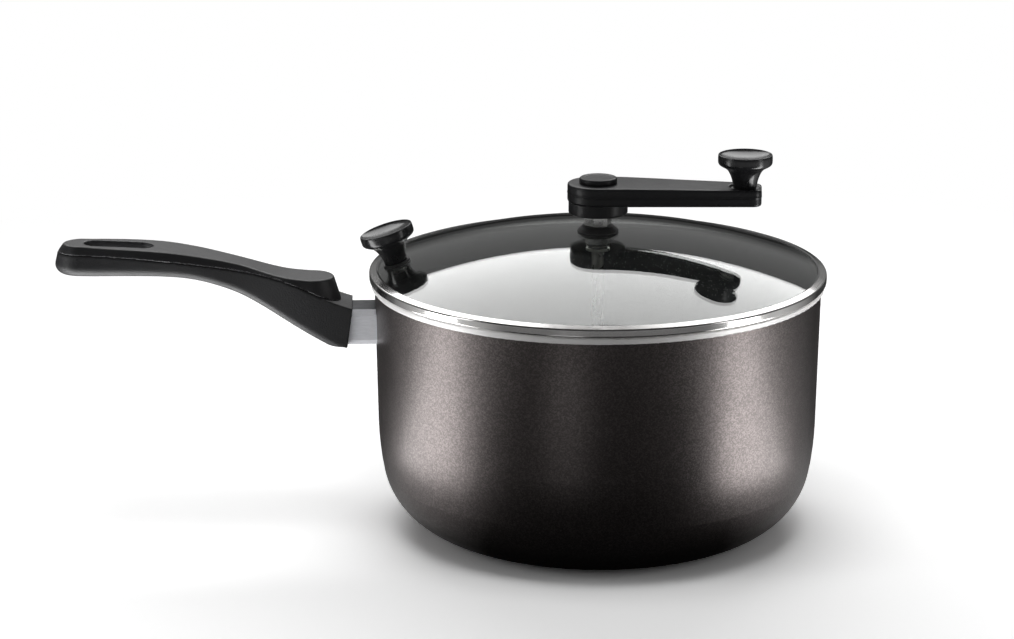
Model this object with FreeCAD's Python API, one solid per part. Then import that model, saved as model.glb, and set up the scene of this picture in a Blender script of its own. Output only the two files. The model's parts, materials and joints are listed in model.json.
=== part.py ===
"""Stovetop popcorn maker: a long-handled pan, a glass lid and a hand crank that turns a wire stirrer.

Millimetres. +Z is up, the handle points along -X, and the origin is the centre of the pan's base on the
surface it stands on. Every function below returns one piece as a closed solid at its place.
"""
import FreeCAD, Part
import math
import os

V = FreeCAD.Vector
UP = V(0, 0, 1)

# Pan
PAN_R = 111.9            # outside of the wall, just under the lip
PAN_HEIGHT = 128.0
PAN_WALL = 1.8
PAN_FLOOR = 3.0
WALL_TAPER = 1.12        # degrees that the wall leans outwards
CORNER_R = 37.0          # outside radius between the base and the wall
BLEND_R = 146.0          # long arc that runs the corner into the straight wall
BLEND_FROM = 10.9        # degrees from level at which the corner gives way to the blend
LIP_OUT = 1.5            # how far the lip stands out from the wall
LIP_HEIGHT = 3.7
LIP_ROUND = 1.1
GROOVE_RADII = (24.0, 42.0, 60.0)
GROOVE_WIDTH = 2.4
GROOVE_DEPTH = 0.5

# Handle root: bracket welded to the pan, ferrule over it, and the screw that holds the grip
ROOT_DROP = 22.3         # of the bracket's centre line below the pan's rim
ROOT_Z = PAN_HEIGHT - ROOT_DROP
FERRULE_WIDTH = 23.4
FERRULE_HEIGHT = 18.0
FERRULE_CHAMFER = 2.8
FERRULE_WALL = 1.3
FERRULE_INSET = 4.5      # how far the ferrule goes into the grip
TONGUE_WIDTH = 13.0
TONGUE_HEIGHT = 6.5
TONGUE_RISE = 2.0        # of its middle above the ferrule's
TONGUE_LENGTH = 31.5     # from the pan's wall into the grip
WELD_PAD = 2.2
HOLD_GAP = 0.2           # clearance round what is pushed into the grip

# Grip
GRIP_FRONT = 11.4        # distance from the pan's wall to the grip's front face
GRIP_LENGTH = 148.7      # front face to the far tip
FRONT_LEAN = 8.0         # degrees that the front face leans back towards its foot
TIP_FLARE = 14.3         # half the width of the body at the tip, which is a half circle in plan
# Shape along the grip: share of the way from the front face to the centre of the tip, then the value there.
# The three lines are heights above the pan's rim.
TOP_LINE = ((0.0, 1.8), (0.14, 2.0), (0.26, 4.1), (0.42, 10.5), (0.57, 15.1), (0.72, 18.1), (1.0, 20.3))
PART_LINE = ((-0.08, -14.4), (0.0, -12.0), (0.14, -4.6), (0.26, 2.2), (0.42, 7.5), (0.72, 13.7),
             (1.0, 16.2))
FOOT_LINE = ((-0.08, -44.5), (0.09, -31.4), (0.2, -22.7), (0.31, -13.0), (0.42, -4.6), (0.57, 2.7),
             (0.72, 5.2), (1.0, 5.4))
FLAT_DROP = 32.3         # of the flat under the grip's front end below the rim, at the front face
FLAT_RISE = 4.6          # degrees that the flat rises away from the pan
TOP_HALF_WIDTH = ((0.0, 11.6), (0.15, 11.6), (0.26, 10.6), (0.42, 8.7), (0.57, 10.9), (0.72, 12.2),
                  (0.87, 11.2), (1.0, 8.8))
BODY_HALF_WIDTH = ((-0.08, 13.6), (0.15, 13.4), (0.26, 12.6), (0.42, 11.3), (0.57, 13.2), (0.72, 14.4),
                   (0.87, 13.6), (1.0, 11.7))
STATIONS = 14            # cross-sections that the grip is lofted through
FOOT_ROUND = 4.5
FLARE_FROM = 0.7         # share of the grip at which the body's foot starts to spread towards the tip
FLANK_OVER = 1.6         # the body's flank is carried this share of its height up, past the part line
BLEND_UNDER = 6.0        # the same for the top's flank, carried down past the part line
STOP_UNDER = 8.0         # and further under the thumb stop
TOP_ROUND = 1.3
THUMB_FROM = 0.155       # where the thumb stop's rounded front is centred
SLOT_LENGTH = 34.2
SLOT_WIDTH = 11.0
SLOT_TIP_GAP = 15.7      # from the slot's end to the far tip
PEG_R = 2.0
PEG_DEPTH = 5.0
PEG_PLACES = (0.33, 0.62)

# Grip screw
SCREW_R = 2.5
SCREW_HEAD_R = 4.5
SCREW_HEAD = 3.4
SCREW_X = 12.0           # from the grip's front face
SCREW_SEAT = 4.0         # grip material between the head and the tongue
THREAD_GAP = 0.05
RECESS_SPAN = 1.2        # cross recess in a screw's head, as shares of the head's radius
RECESS_WIDTH = 0.27
RECESS_DEPTH = 0.36
HEAD_ROUND = 1.2

# Lid
GLASS_T = 3.0
GLASS_R = 333.0          # outer radius of the dome
GLASS_EDGE_Z = 3.9       # top of the glass at its edge, above the pan's rim
RING_OVER = 1.1          # how far the ring's band stands out past the pan's lip
RING_R = PAN_R + LIP_OUT + RING_OVER
RING_TO_GLASS = 1.8      # from the outside of the band to the edge of the glass
GLASS_EDGE = RING_R - RING_TO_GLASS
RING_SHEET = 0.5
RING_LIP_IN = 3.5
RING_GRIP = 0.25         # seal between the glass and the ring's upper lip
RING_BEND = 0.9
SEAL_BEAD = 0.9          # how far the seal shows inside the ring's lip
SEAL_PROUD = 0.15        # how far it stands above the glass there
SKIRT_GAP = 0.9          # radial gap between the skirt and the pan's wall at the rim
SKIRT_DROP = 14.0

# Knob: one moulding, used on the lid and on the crank
KNOB_R = 13.6
KNOB_HEIGHT = 17.6
KNOB_BAND = 4.3
KNOB_NECK_R = 5.9
KNOB_DISH = 3.0
KNOB_RIM = 0.9
KNOB_FOOT = 1.3
KNOB_WAIST = 1.15        # how far the neck's hollow has opened halfway up
KNOB_FLARE = 0.66        # radius where the neck ends, as a share of the knob's, and its drop below the band
KNOB_FLARE_DROP = 3.4
KNOB_SHOULDER = 0.83     # the same where the underside rounds into the band
KNOB_SHOULDER_DROP = 1.9
KNOB_BULGE = 0.3         # how far the underside bulges between the shoulder and the band
KNOB_WAIST_AT = 0.56     # share of the neck's height at which its hollow is measured

# Lid knob fixing
LID_KNOB_IN = 12.2       # from the edge of the glass to the knob's foot
LID_KNOB_REACH = GLASS_EDGE - LID_KNOB_IN
LID_WASHER_R = KNOB_NECK_R + 1.0
LID_WASHER_T = 0.9
LID_SCREW_R = 2.0
LID_SCREW_GRIP = 8.0
LID_SCREW_HEAD_R = 4.0
LID_SCREW_HEAD = 2.4
LID_INNER_WASHER_R = 7.0
LID_INNER_WASHER_T = 1.0
HOLE_GAP = 0.4           # radial clearance of the holes in the glass

# Bush in the middle of the lid
SHAFT_R = 3.0
BUSH_RUN = 0.05          # running clearance of the shaft
BUSH_WALL = 2.0
BUSH_R = SHAFT_R + BUSH_WALL
HEX_SHOULDER = 0.95      # from the thread to the flats of the bush's head and nut
BUSH_HEX = 2 * (BUSH_R + HEX_SHOULDER)   # across flats
BUSH_HEX_HEIGHT = 5.5
BUSH_TURN = 8.0          # degrees
GASKET_R = BUSH_R + 5.25
GASKET_TOP_R = BUSH_R + 2.9
GASKET_T = 2.9
LOWER_GASKET_T = 1.2
NUT_HEX = BUSH_HEX
NUT_HEIGHT = 3.6
NUT_TURN = 23.0          # degrees
BUSH_TAIL = 2.2          # thread that shows below the nut
CLIP_R = SHAFT_R + 3.0
CLIP_T = 0.9
CLIP_GROOVE = 0.5
CLIP_MOUTH = 0.9         # opening of the clip, as a share of the groove's radius
CLIP_TURN = 60.0         # degrees from the crank
END_FLOAT = 0.25         # play of the shaft up and down
WASHER_T = 0.8
WASHER_R = SHAFT_R + 3.2

# Crank
CRANK_TURN = -6.8        # degrees from +X at rest
COLLAR_R = 14.8
COLLAR_T = 6.0
COLLAR_ROUND = 0.8
ARM_T = 9.3
ARM_T_END = 8.4
ARM_HUB_R = 15.4
ARM_END_HALF = 9.3
ARM_CORNER = 4.5
ARM_EDGE = 1.0
CRANK_LENGTH = 72.8      # between the two axes
ARM_REACH = CRANK_LENGTH + 8.4
WELL_R = 8.0             # pocket in the arm that holds the nut and the cap's plug
WELL_DEPTH = 6.3
CAP_R = WELL_R + 1.5
CAP_T = 2.8
CAP_BEVEL = 0.7
CAP_PLUG = 1.6
CAP_PLUG_WALL = 1.2
TOP_THREAD_R = SHAFT_R - 0.5
THREAD_SHOWS = 0.6       # thread past the nut under the cap
TOP_NUT_HEX = 2 * (TOP_THREAD_R + 1.5)
TOP_NUT_T = 3.0
TOP_WASHER_R = TOP_THREAD_R + 2.5
TOP_WASHER_T = 0.8
DISH_R = KNOB_NECK_R + 1.7   # shallow seat in the arm round the knob's foot
DISH_DEPTH = 1.0
PIN_R = 2.5
PIN_RUN = 0.06
PIN_HEAD_R = PIN_R + 1.7
PIN_HEAD = 1.8
PIN_BARB = 0.5
PIN_BARB_T = 2.2
PIN_REACH = 9.0          # pin above the seat
KNOB_LIFT = 0.15         # play under the knob

# Stirrer
HUB_WEB = 0.8            # between the wires and the end of the shaft
HUB_GRIP = 12.0          # length of shaft that the hub holds
STIR_HUB_R = SHAFT_R + 3.5
STIR_HUB_EDGE = 0.8
WIRE_R = 1.6
WIRE_CLEAR = 2.2         # under the wires, above the pan's floor
LONG_RUN = PAN_R - CORNER_R - 10.9   # ends its level stretch short of the pan's corner
LONG_TIP = 26.0
LONG_RISE = 32.0         # degrees
SHORT_RUN = 40.0
SHORT_TIP = 20.0
SHORT_RISE = 55.0        # degrees
WIRE_BEND_R = 12.0
WIRE_START = 0.15        # gap between a wire's end and the hub's axis
STIR_TURN = -35.0        # degrees from the crank
SET_SCREW_R = 1.5
SET_SCREW_LENGTH = 4.0

# Heights that follow from the sizes above
APEX = PAN_HEIGHT + GLASS_EDGE_Z + GLASS_R - math.sqrt(GLASS_R ** 2 - GLASS_EDGE ** 2)
UNDER_GLASS = APEX - GLASS_T
BUSH_SEAT = APEX + GASKET_T
BUSH_TOP = BUSH_SEAT + BUSH_HEX_HEIGHT
NUT_TOP = UNDER_GLASS - LOWER_GASKET_T
BUSH_FOOT = NUT_TOP - NUT_HEIGHT - BUSH_TAIL
COLLAR_FOOT = BUSH_TOP + END_FLOAT + WASHER_T
ARM_FOOT = COLLAR_FOOT + COLLAR_T
ARM_TOP = ARM_FOOT + ARM_T
CLIP_TOP = BUSH_FOOT - END_FLOAT
WELL_FLOOR = ARM_TOP - WELL_DEPTH
KNOB_SEAT = ARM_FOOT + ARM_T_END - DISH_DEPTH
WIRE_Z = PAN_FLOOR + WIRE_CLEAR + WIRE_R
SHAFT_FOOT = WIRE_Z + WIRE_R + HUB_WEB
HUB_TOP = SHAFT_FOOT + HUB_GRIP
SET_SCREW_Z = SHAFT_FOOT + HUB_GRIP / 2


def circle_point(centre, radius, degrees):
    angle = math.radians(degrees)
    return V(centre[0] + radius * math.cos(angle), 0, centre[1] + radius * math.sin(angle))


def line(a, b):
    return Part.LineSegment(a, b).toShape()


def arc(centre, radius, start, end):
    """Arc in the XZ plane round (x, z), between two angles in degrees."""
    middle = (start + end) / 2
    return Part.Arc(circle_point(centre, radius, start), circle_point(centre, radius, middle),
                    circle_point(centre, radius, end)).toShape()


def rounded(points, place):
    """Closed face through (a, b, corner radius) points, which place() puts in space."""
    count = len(points)
    edges = []
    ends = []
    for index, (a, b, radius) in enumerate(points):
        here = place(a, b)
        before = place(*points[index - 1][:2]) - here
        after = place(*points[(index + 1) % count][:2]) - here
        before.normalize()
        after.normalize()
        if radius <= 0:
            ends.append((here, here))
            continue
        half = before.getAngle(after) / 2
        middle = (before + after).normalize()
        centre = here + middle * (radius / math.sin(half))
        start = here + before * (radius / math.tan(half))
        end = here + after * (radius / math.tan(half))
        edges.append((index, Part.Arc(start, centre - middle * radius, end).toShape()))
        ends.append((start, end))
    arcs = dict(edges)
    loop = []
    for index in range(count):
        if index in arcs:
            loop.append(arcs[index])
        a, b = ends[index][1], ends[(index + 1) % count][0]
        if (b - a).Length > 1e-7:
            loop.append(line(a, b))
    return Part.Face(Part.Wire(loop))


def in_xz(x, z):
    return V(x, 0, z)


def turned(points):
    """Solid of revolution about Z of a rounded outline of (radius, height, corner radius) points."""
    return rounded(points, in_xz).revolve(V(0, 0, 0), UP, 360)


def disc(radius, bottom, top):
    return Part.makeCylinder(radius, top - bottom, V(0, 0, bottom))


def tube(outer, inner, bottom, top):
    return disc(outer, bottom, top).cut(disc(inner, bottom, top))


def hexagon(flats, bottom, top, turn):
    corners = [V(flats / math.sqrt(3), 0, bottom)]
    for step in range(1, 7):
        corners.append(FreeCAD.Rotation(UP, 60 * step).multVec(corners[0]))
    prism = Part.Face(Part.makePolygon(corners)).extrude(UP * (top - bottom))
    prism.rotate(V(0, 0, 0), UP, turn)
    return prism


def chamfered_hex(flats, bottom, top, turn):
    """Hexagon whose corners are turned off at 30 degrees at both ends."""
    corner = flats / math.sqrt(3)
    drop = (corner - flats / 2) * math.tan(math.radians(30))
    cone = turned(((0, bottom, 0), (flats / 2, bottom, 0), (corner, bottom + drop, 0),
                   (corner, top - drop, 0), (flats / 2, top, 0), (0, top, 0)))
    return hexagon(flats, bottom, top, turn).common(cone)


def smooth(points, at):
    """Value at a place on the smooth curve through (place, value) points."""
    places = [p[0] for p in points]
    last = len(points) - 2
    index = max(0, min(last, sum(1 for p in places if p <= at) - 1))

    def slope(i):
        low, high = max(0, i - 1), min(len(points) - 1, i + 1)
        return (points[high][1] - points[low][1]) / (points[high][0] - points[low][0])

    (x0, y0), (x1, y1) = points[index], points[index + 1]
    width = x1 - x0
    t = (at - x0) / width
    return ((2 * t ** 3 - 3 * t ** 2 + 1) * y0 + (t ** 3 - 2 * t ** 2 + t) * width * slope(index)
            + (3 * t ** 2 - 2 * t ** 3) * y1 + (t ** 3 - t ** 2) * width * slope(index + 1))


# Pan ---------------------------------------------------------------------------------------------------

def bowl(inset, floor):
    """Everything inside the pan's wall line, moved in by inset and with its base at floor."""
    tilt = math.radians(WALL_TAPER)
    blend = math.radians(BLEND_FROM)
    neck = PAN_HEIGHT - LIP_HEIGHT
    blend_z = CORNER_R * (1 - math.sin(blend)) + BLEND_R * math.sin(blend)
    blend_end_z = blend_z - BLEND_R * math.sin(tilt)
    blend_x = PAN_R - (neck - blend_end_z) * math.tan(tilt) - BLEND_R * math.cos(tilt)
    radius = BLEND_R - inset
    joint = circle_point((blend_x, blend_z), radius, -BLEND_FROM)
    corner = (joint.z - floor) / (1 - math.sin(blend))
    corner_centre = (joint.x - corner * math.cos(blend), floor + corner)
    wall_foot = circle_point((blend_x, blend_z), radius, -WALL_TAPER)
    wall_top = wall_foot + V(math.tan(tilt), 0, 1) * (PAN_HEIGHT - wall_foot.z)
    foot = circle_point(corner_centre, corner, -90)
    wire = Part.Wire([
        line(V(0, 0, floor), foot),
        arc(corner_centre, corner, -90, -BLEND_FROM),
        arc((blend_x, blend_z), radius, -BLEND_FROM, -WALL_TAPER),
        line(wall_foot, wall_top),
        line(wall_top, V(0, 0, PAN_HEIGHT)),
        line(V(0, 0, PAN_HEIGHT), V(0, 0, floor)),
    ])
    return Part.Face(wire).revolve(V(0, 0, 0), UP, 360)


def pan_body():
    lip_r = PAN_R + LIP_OUT
    low = PAN_HEIGHT - LIP_HEIGHT
    lip = turned(((PAN_R - PAN_WALL, low, 0), (lip_r, low, LIP_ROUND), (lip_r, PAN_HEIGHT, LIP_ROUND),
                  (PAN_R - PAN_WALL, PAN_HEIGHT, 0)))
    body = bowl(0, 0).fuse(lip).cut(bowl(PAN_WALL, PAN_FLOOR))
    for radius in GROOVE_RADII:
        body = body.cut(tube(radius + GROOVE_WIDTH / 2, radius - GROOVE_WIDTH / 2, 0, GROOVE_DEPTH))
    return body


# Handle ------------------------------------------------------------------------------------------------

def wall_radius(z):
    """Outside of the pan's straight wall at a height."""
    return PAN_R - (PAN_HEIGHT - LIP_HEIGHT - z) * math.tan(math.radians(WALL_TAPER))


GRIP_X = -wall_radius(ROOT_Z) - GRIP_FRONT
TIP_X = GRIP_X - GRIP_LENGTH + TIP_FLARE
SCREW_AT = GRIP_X - SCREW_X
TONGUE_FOOT = ROOT_Z + TONGUE_RISE - TONGUE_HEIGHT / 2
TONGUE_TOP = TONGUE_FOOT + TONGUE_HEIGHT
HEAD_SEAT = TONGUE_TOP + SCREW_SEAT


def along(share):
    """X of a place along the grip: 0 is its front face, 1 is the centre of its rounded tip."""
    return GRIP_X + share * (TIP_X - GRIP_X)


def height(line_points, share):
    """Height above the pan's base of one of the grip's three lines."""
    return PAN_HEIGHT + smooth(line_points, share)


def chamfered_bar(width, height, chamfer, x_from, x_to):
    half, tall = width / 2, height / 2
    outline = ((-half + chamfer, -tall), (half - chamfer, -tall), (half, -tall + chamfer),
               (half, tall - chamfer), (half - chamfer, tall), (-half + chamfer, tall),
               (-half, tall - chamfer), (-half, -tall + chamfer))
    corners = [V(x_from, y, ROOT_Z + z) for y, z in outline]
    return Part.Face(Part.makePolygon(corners + corners[:1])).extrude(V(x_to - x_from, 0, 0))


def tongue(gap):
    half = TONGUE_WIDTH / 2 + gap
    far = V(-wall_radius(ROOT_Z) - TONGUE_LENGTH - gap, -half, TONGUE_FOOT - gap)
    return Part.makeBox(TONGUE_LENGTH + WELD_PAD + gap, 2 * half, TONGUE_HEIGHT + 2 * gap, far)


def handle_bracket():
    pad_half = FERRULE_WIDTH / 2 - FERRULE_WALL - HOLD_GAP
    pad_tall = FERRULE_HEIGHT / 2 - FERRULE_WALL - HOLD_GAP
    reach = wall_radius(ROOT_Z) + WELD_PAD
    pad = Part.makeBox(2 * WELD_PAD + 2, 2 * pad_half, 2 * pad_tall, V(-reach, -pad_half, ROOT_Z - pad_tall))
    pad = pad.makeChamfer(FERRULE_CHAMFER - 1, [e for e in pad.Edges if abs(e.BoundBox.XLength) > WELD_PAD])
    thread = Part.makeCylinder(SCREW_R + THREAD_GAP, TONGUE_HEIGHT, V(SCREW_AT, 0, TONGUE_FOOT))
    return tongue(0).fuse(pad).cut(bowl(0, 0)).cut(thread).removeSplitter()


def flame_guard():
    far = GRIP_X - FERRULE_INSET
    near = GRIP_X + GRIP_FRONT + 5
    outer = chamfered_bar(FERRULE_WIDTH, FERRULE_HEIGHT, FERRULE_CHAMFER, far, near)
    inner = chamfered_bar(FERRULE_WIDTH - 2 * FERRULE_WALL, FERRULE_HEIGHT - 2 * FERRULE_WALL,
                          FERRULE_CHAMFER - FERRULE_WALL / 2, far - 1, near + 1)
    return outer.cut(inner).cut(bowl(0, 0))


def under_part_line():
    """Everything below the joint between the grip's body and its top."""
    spots = [V(along(share), 0, PAN_HEIGHT + z) for share, z in PART_LINE]
    spots.append(V(TIP_X - 2 * TIP_FLARE, 0, spots[-1].z))
    curve = Part.BSplineCurve()
    curve.interpolate(spots)
    low = spots[0].z - 6 * TIP_FLARE
    far_foot, near_foot = V(spots[-1].x, 0, low), V(spots[0].x, 0, low)
    side = Part.Wire([curve.toShape(), line(spots[-1], far_foot), line(far_foot, near_foot),
                      line(near_foot, spots[0])])
    slab = Part.Face(side).extrude(V(0, 6 * TIP_FLARE, 0))
    slab.translate(V(0, -3 * TIP_FLARE, 0))
    return slab


def section(x, outline):
    """Closed wire across the grip, from its right-hand half as (y, z, corner radius) points."""
    mirrored = [(-y, z, r) for y, z, r in reversed(outline)]
    return rounded(list(outline) + mirrored, lambda y, z: V(x, y, z)).OuterWire


def end_cap(outline, x, side):
    """Half-turned end that carries a section round to the other flank: side is -1 at the tip, 1 in front."""
    half = [(0, outline[0][1], 0)] + list(outline) + [(0, outline[-1][1], 0)]
    face = rounded(half, lambda y, z: V(x, y, z))
    return face.revolve(V(x, 0, 0), UP, -180 * side)


def body_outline(share):
    low, high = height(FOOT_LINE, share), height(PART_LINE, share)
    wide = smooth(BODY_HALF_WIDTH, share)
    spread = max(0.0, (share - FLARE_FROM) / (1 - FLARE_FROM)) * (TIP_FLARE - BODY_HALF_WIDTH[-1][1])
    return ((wide + spread, low, FOOT_ROUND),
            (wide - spread * (FLANK_OVER - 1), low + (high - low) * FLANK_OVER, 0))


def top_outline(share):
    low, high = height(PART_LINE, share), height(TOP_LINE, share)
    top, foot = smooth(TOP_HALF_WIDTH, share), smooth(BODY_HALF_WIDTH, share)
    lean = (foot - top) / (high - low)
    return ((top + lean * (high - low + BLEND_UNDER), low - BLEND_UNDER, 0), (top, high, TOP_ROUND))


def stations(first, last):
    return [first + (last - first) * i / (STATIONS - 1) for i in range(STATIONS)]


def hanging_slot():
    far = TIP_X - TIP_FLARE + SLOT_TIP_GAP + SLOT_WIDTH / 2
    near = far + SLOT_LENGTH - SLOT_WIDTH
    low, tall = height(FOOT_LINE, 1.0) - 10, 40
    box = Part.makeBox(near - far, SLOT_WIDTH, tall, V(far, -SLOT_WIDTH / 2, low))
    for x in (far, near):
        box = box.fuse(Part.makeCylinder(SLOT_WIDTH / 2, tall, V(x, 0, low)))
    return box


def pegs(radius, depth):
    made = []
    for share in PEG_PLACES:
        z = height(PART_LINE, share)
        made.append(Part.makeCylinder(radius, depth + 1, V(along(share), 0, z - depth)))
    return made


def handle_body():
    loft = Part.makeLoft([section(along(s), body_outline(s)) for s in stations(-0.08, 1.0)], True)
    blank = loft.fuse(end_cap(body_outline(1.0), TIP_X, -1))
    front = Part.makeBox(60, 80, 120, V(0, -40, -60))
    front.rotate(V(0, 0, 0), V(0, 1, 0), FRONT_LEAN)
    front.translate(V(GRIP_X, 0, height(PART_LINE, 0)))
    flat = Part.makeBox(80, 80, 40, V(-60, -40, -40))
    flat.rotate(V(0, 0, 0), V(0, 1, 0), FLAT_RISE)
    flat.translate(V(GRIP_X, 0, PAN_HEIGHT - FLAT_DROP))
    body = blank.common(under_part_line()).cut(front).cut(flat).cut(hanging_slot())
    pocket = chamfered_bar(FERRULE_WIDTH + 2 * HOLD_GAP, FERRULE_HEIGHT + 2 * HOLD_GAP, FERRULE_CHAMFER,
                           GRIP_X - FERRULE_INSET, GRIP_X + 20)
    body = body.cut(tongue(HOLD_GAP)).cut(pocket)
    for hole in pegs(PEG_R + THREAD_GAP, PEG_DEPTH + HOLD_GAP):
        body = body.cut(hole)
    body = body.cut(Part.makeCylinder(SCREW_HEAD_R + HOLD_GAP, 40, V(SCREW_AT, 0, HEAD_SEAT)))
    return body.cut(Part.makeCylinder(SCREW_R + THREAD_GAP, 30, V(SCREW_AT, 0, TONGUE_FOOT - HOLD_GAP)))


def handle_top_grip():
    loft = Part.makeLoft([section(along(s), top_outline(s)) for s in stations(THUMB_FROM, 1.0)], True)
    stop = end_cap(deepened(top_outline(THUMB_FROM)), along(THUMB_FROM), 1)
    blank = loft.fuse(end_cap(top_outline(1.0), TIP_X, -1)).fuse(stop)
    grip = blank.cut(under_part_line())
    for peg in pegs(PEG_R, PEG_DEPTH):
        grip = grip.fuse(peg)
    return grip.cut(hanging_slot())


def deepened(outline):
    """The same flank, carried further down, so that the thumb stop reaches the body in front of it."""
    (foot, low, _), (top, high, edge) = outline
    lean = (foot - top) / (high - low)
    return ((foot + lean * STOP_UNDER, low - STOP_UNDER, 0), (top, high, edge))


def cross_recess(head_r, top):
    """The two slots of a cross drive, sunk from top."""
    long, wide, deep = head_r * RECESS_SPAN, head_r * RECESS_WIDTH, head_r * RECESS_DEPTH
    return (Part.makeBox(long, wide, deep, V(-long / 2, -wide / 2, top - deep)),
            Part.makeBox(wide, long, deep, V(-wide / 2, -long / 2, top - deep)))


def handle_screw():
    top = HEAD_SEAT + SCREW_HEAD
    head = turned(((0, HEAD_SEAT, 0), (SCREW_HEAD_R, HEAD_SEAT, 0), (SCREW_HEAD_R, top, HEAD_ROUND),
                   (0, top, 0)))
    screw = head.fuse(disc(SCREW_R, TONGUE_FOOT, HEAD_SEAT))
    for slot in cross_recess(SCREW_HEAD_R, top):
        screw = screw.cut(slot)
    screw.translate(V(SCREW_AT, 0, 0))
    return screw


# Lid ---------------------------------------------------------------------------------------------------

def glass_top(r):
    return APEX - GLASS_R + math.sqrt(GLASS_R ** 2 - r ** 2)


def glass_blank():
    centre = V(0, 0, APEX - GLASS_R)
    outer = Part.makeSphere(GLASS_R, centre).cut(Part.makeSphere(GLASS_R - GLASS_T, centre))
    return outer.common(disc(GLASS_EDGE, PAN_HEIGHT, APEX + 10))


def knob_place(shape):
    """Put something built on Z=0 on the lid where the lid's knob stands, square to the glass."""
    lean = math.degrees(math.asin(LID_KNOB_REACH / GLASS_R))
    placed = shape.copy()
    placed.rotate(V(0, 0, 0), V(0, 1, 0), -lean)
    placed.translate(V(-LID_KNOB_REACH, 0, glass_top(LID_KNOB_REACH)))
    return placed


def lid_glass():
    bore = disc(BUSH_R + HOLE_GAP, UNDER_GLASS - 5, APEX + 5)
    side = knob_place(disc(LID_SCREW_R + HOLE_GAP, -10, 10))
    return glass_blank().cut(bore).cut(side)


def lid_ring():
    sheet = RING_SHEET
    low = PAN_HEIGHT
    lip_x = RING_R - RING_LIP_IN
    slope = (glass_top(lip_x) - glass_top(GLASS_EDGE)) / (GLASS_EDGE - lip_x)
    lip_z = glass_top(lip_x) + RING_GRIP
    bend_z = lip_z - slope * RING_LIP_IN
    skirt = PAN_R - PAN_WALL - SKIRT_GAP
    foot = PAN_HEIGHT - SKIRT_DROP
    return turned((
        (lip_x, lip_z, 0), (RING_R - sheet, bend_z + slope * sheet, 0), (RING_R - sheet, low + sheet, 0),
        (skirt - sheet, low + sheet, 0), (skirt - sheet, foot, 0), (skirt, foot, 0), (skirt, low, 0),
        (RING_R, low, RING_BEND), (RING_R, bend_z + sheet, RING_BEND), (lip_x, lip_z + sheet, 0)))


def lid_ring_seal():
    sheet = RING_SHEET
    lip_x = RING_R - RING_LIP_IN
    slope = (glass_top(lip_x) - glass_top(GLASS_EDGE)) / (GLASS_EDGE - lip_x)
    lip_z = glass_top(lip_x) + RING_GRIP
    block = turned((
        (lip_x - SEAL_BEAD, PAN_HEIGHT + sheet, 0), (RING_R - sheet, PAN_HEIGHT + sheet, 0),
        (RING_R - sheet, lip_z - slope * (RING_LIP_IN - sheet), 0), (lip_x, lip_z, 0),
        (lip_x, lip_z + sheet, 0), (lip_x - SEAL_BEAD, glass_top(lip_x - SEAL_BEAD) + SEAL_PROUD, 0)))
    return block.cut(glass_blank())


def knob_blank():
    """The knob with its foot at zero: neck, flare, band, rolled rim and a hollow top."""
    band_z = KNOB_HEIGHT - KNOB_BAND
    neck = V(KNOB_NECK_R, 0, KNOB_FOOT)
    flare = V(KNOB_R * KNOB_FLARE, 0, band_z - KNOB_FLARE_DROP)
    waist = V(KNOB_NECK_R + KNOB_WAIST, 0, (KNOB_FOOT + flare.z) * KNOB_WAIST_AT)
    shoulder = V(KNOB_R * KNOB_SHOULDER, 0, band_z - KNOB_SHOULDER_DROP)
    band = V(KNOB_R, 0, band_z)
    rim_z = KNOB_HEIGHT - KNOB_RIM / 2
    hollow_r = KNOB_R - KNOB_RIM
    outer = V(KNOB_R, 0, rim_z)
    inner = V(hollow_r, 0, rim_z)
    half = Part.Face(Part.Wire([
        line(V(0, 0, 0), V(KNOB_NECK_R, 0, 0)),
        line(V(KNOB_NECK_R, 0, 0), neck),
        Part.Arc(neck, waist, flare).toShape(),
        line(flare, shoulder),
        Part.Arc(shoulder, (shoulder + band) / 2 + V(KNOB_BULGE, 0, -KNOB_BULGE), band).toShape(),
        line(band, outer),
        Part.Arc(outer, V(KNOB_R - KNOB_RIM / 2, 0, KNOB_HEIGHT), inner).toShape(),
        line(inner, V(0, 0, rim_z)),
        line(V(0, 0, rim_z), V(0, 0, 0)),
    ]))
    sag = KNOB_DISH - KNOB_RIM / 2
    dish_r = (hollow_r ** 2 + sag ** 2) / (2 * sag)
    dish = Part.makeSphere(dish_r, V(0, 0, KNOB_HEIGHT - KNOB_DISH + dish_r))
    return half.revolve(V(0, 0, 0), UP, 360).cut(dish)


def lid_knob():
    knob = knob_blank()
    knob.translate(V(0, 0, LID_WASHER_T))
    return knob_place(knob.cut(disc(LID_SCREW_R + THREAD_GAP, 0, LID_SCREW_GRIP + 0.5)))


def on_dome(radius, clear):
    """What lies outside the dome, for pieces that seat on the curved glass."""
    return Part.makeSphere(radius, V(0, 0, -GLASS_R + clear))


def lid_knob_washer():
    ring = tube(LID_WASHER_R, LID_SCREW_R + HOLE_GAP, -1, LID_WASHER_T)
    return knob_place(ring.cut(on_dome(GLASS_R, 0)))


def lid_knob_inner_washer():
    low = -GLASS_T - LID_INNER_WASHER_T
    ring = tube(LID_INNER_WASHER_R, LID_SCREW_R + HOLE_GAP, low, -GLASS_T + 1)
    return knob_place(ring.common(on_dome(GLASS_R - GLASS_T, 0)))


def lid_knob_screw():
    seat = -GLASS_T - LID_INNER_WASHER_T
    head = turned(((0, seat - LID_SCREW_HEAD, 0), (LID_SCREW_HEAD_R, seat - LID_SCREW_HEAD, HEAD_ROUND),
                   (LID_SCREW_HEAD_R, seat, 0), (0, seat, 0)))
    screw = head.fuse(disc(LID_SCREW_R, seat, LID_SCREW_GRIP))
    for slot in cross_recess(LID_SCREW_HEAD_R, seat - LID_SCREW_HEAD + LID_SCREW_HEAD_R * RECESS_DEPTH):
        screw = screw.cut(slot)
    return knob_place(screw)


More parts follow.
